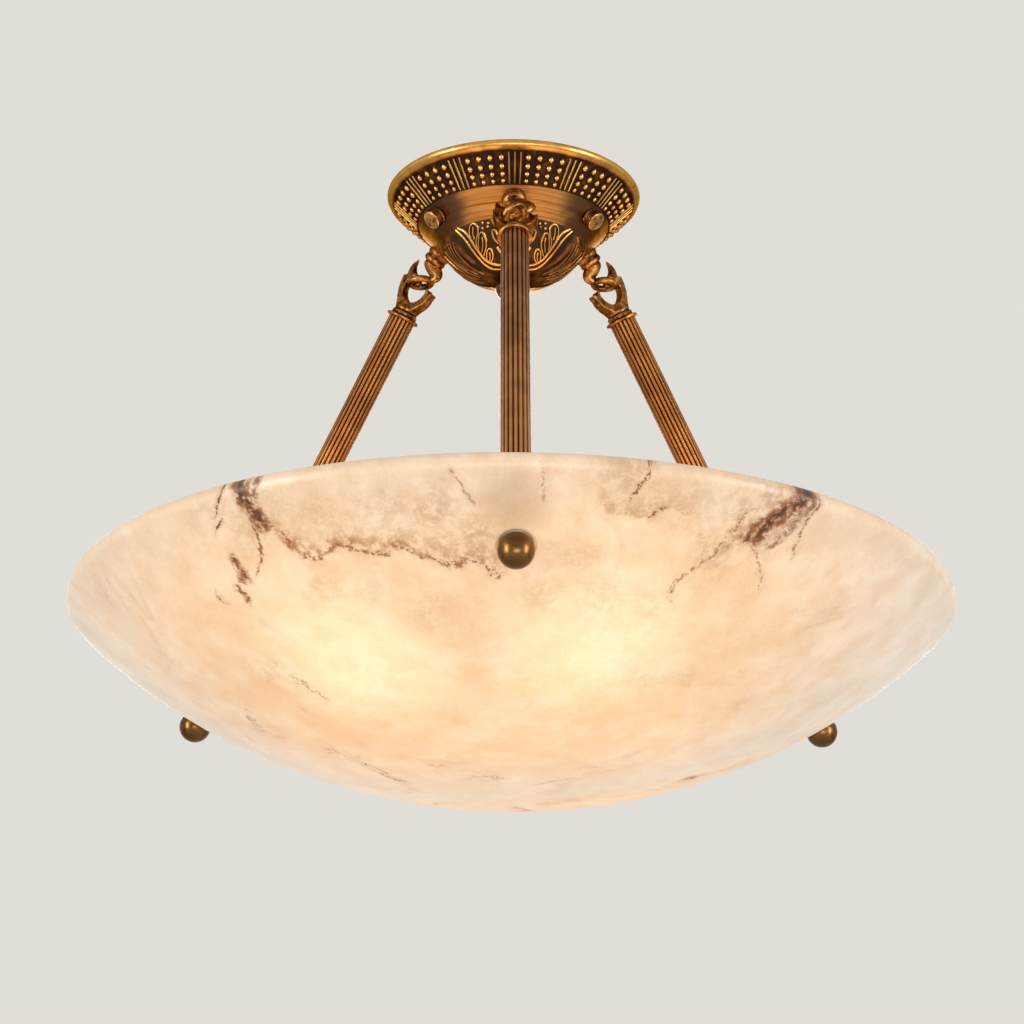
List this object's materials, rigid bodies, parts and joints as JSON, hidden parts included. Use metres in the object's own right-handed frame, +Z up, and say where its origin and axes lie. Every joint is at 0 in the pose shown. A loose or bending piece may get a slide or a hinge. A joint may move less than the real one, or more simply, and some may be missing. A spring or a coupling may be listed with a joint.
{
  "type": "alabaster bowl pendant",
  "caption": "Shallow alabaster bowl hung by reeded brass arms from claw hooks on a cast leaf-ornament ceiling canopy, with a lamp cluster above the bowl.",
  "frame": {"origin": "on the ceiling, in the middle between the two slots of the mounting plate", "axes": "+Z up, -Y towards the front arm, +X to the right as seen from the front"},
  "size_m": [0.5039, 0.504, 0.37],
  "materials": {
    "alabaster": "polished translucent alabaster with brown and violet veins",
    "patinated_brass": "cast ornament, gold relief rubbed bright over a dark brown patina",
    "brushed_brass": "turned and brushed round the axis, lacquered",
    "reeded_brass": "reeds rubbed bright, flutes dark",
    "dark_brass": "polished dark bronze patina",
    "knurled_brass": "knurled sides, plain domed end",
    "bright_brass": "plain stamped brass",
    "zinc_steel": "zinc plated steel",
    "porcelain": "white glazed porcelain",
    "frosted_glass": "frosted inside",
    "lamp_cap_metal": "rolled screw cap",
    "rubber_washer": "matt black",
    "white_plastic": "moulded, matt"
  },
  "bodies": {
    "root": {"mounting_plate": "zinc_steel", "earth_screw": "zinc_steel", "terminal_block": "white_plastic", "canopy_rim_plate": "patinated_brass", "canopy_band": "brushed_brass", "leaf_cup": "patinated_brass", "canopy_hook_1": "patinated_brass", "canopy_hook_2": "patinated_brass", "canopy_hook_3": "patinated_brass", "hook_lock_nuts": "zinc_steel", "centre_nipple": "zinc_steel", "nipple_nuts": "zinc_steel", "centre_ball_nut": "dark_brass", "stem_coupling": "dark_brass", "stem_tube": "dark_brass", "cluster_hub": "dark_brass", "hub_finial": "dark_brass", "lampholder_1": "porcelain", "lampholder_2": "porcelain", "lampholder_3": "porcelain", "screw_shells": "bright_brass", "centre_contacts": "bright_brass"},
    "bowl_assembly": {"bowl": "alabaster", "inner_washers": "rubber_washer", "outer_washers": "rubber_washer", "arm_claw_1": "patinated_brass", "arm_tube_1": "reeded_brass", "arm_rod_1": "zinc_steel", "arm_foot_1": "patinated_brass", "arm_claw_2": "patinated_brass", "arm_tube_2": "reeded_brass", "arm_rod_2": "zinc_steel", "arm_foot_2": "patinated_brass", "arm_claw_3": "patinated_brass", "arm_tube_3": "reeded_brass", "arm_rod_3": "zinc_steel", "arm_foot_3": "patinated_brass"},
    "ball_nut_1": {"ball_nut_1": "dark_brass"},
    "ball_nut_2": {"ball_nut_2": "dark_brass"},
    "ball_nut_3": {"ball_nut_3": "dark_brass"},
    "canopy_screw_1": {"canopy_screw_1": "knurled_brass"},
    "canopy_screw_2": {"canopy_screw_2": "knurled_brass"},
    "canopy_screw_3": {"canopy_screw_3": "knurled_brass"},
    "bulb_1": {"bulb_cap_1": "lamp_cap_metal", "bulb_glass_1": "frosted_glass"},
    "bulb_2": {"bulb_cap_2": "lamp_cap_metal", "bulb_glass_2": "frosted_glass"},
    "bulb_3": {"bulb_cap_3": "lamp_cap_metal", "bulb_glass_3": "frosted_glass"}
  },
  "joints": [
    {"name": "bowl_sway", "type": "hinge", "parent": "root", "child": "bowl_assembly", "pos_m": [0, 0.03545, -0.0435], "axis": [-1, 0, 0], "range_deg": [0, 2]},
    {"name": "ball_nut_1_turn", "type": "hinge", "parent": "bowl_assembly", "child": "ball_nut_1", "pos_m": [0, -0.0645, -0.0435], "axis": [0, -0.5101, -0.8601], "continuous": true},
    {"name": "ball_nut_2_turn", "type": "hinge", "parent": "bowl_assembly", "child": "ball_nut_2", "pos_m": [0.05586, 0.03225, -0.0435], "axis": [0.4418, 0.255, -0.8601], "continuous": true},
    {"name": "ball_nut_3_turn", "type": "hinge", "parent": "bowl_assembly", "child": "ball_nut_3", "pos_m": [-0.05586, 0.03225, -0.0435], "axis": [-0.4418, 0.255, -0.8601], "continuous": true},
    {"name": "canopy_screw_1_turn", "type": "hinge", "parent": "root", "child": "canopy_screw_1", "pos_m": [0.04496, -0.02596, -0.02608], "axis": [0.6124, -0.3536, -0.7071], "continuous": true},
    {"name": "canopy_screw_2_turn", "type": "hinge", "parent": "root", "child": "canopy_screw_2", "pos_m": [-0.04496, -0.02596, -0.02608], "axis": [-0.6124, -0.3536, -0.7071], "continuous": true},
    {"name": "canopy_screw_3_turn", "type": "hinge", "parent": "root", "child": "canopy_screw_3", "pos_m": [0, 0.05192, -0.02608], "axis": [0, 0.7071, -0.7071], "continuous": true},
    {"name": "bulb_1_turn", "type": "hinge", "parent": "root", "child": "bulb_1", "pos_m": [0, 0, -0.302], "axis": [-1, 0, 0], "continuous": true},
    {"name": "bulb_2_turn", "type": "hinge", "parent": "root", "child": "bulb_2", "pos_m": [0, 0, -0.302], "axis": [0.5, -0.866, 0], "continuous": true},
    {"name": "bulb_3_turn", "type": "hinge", "parent": "root", "child": "bulb_3", "pos_m": [0, 0, -0.302], "axis": [0.5, 0.866, 0], "continuous": true}
  ]
}
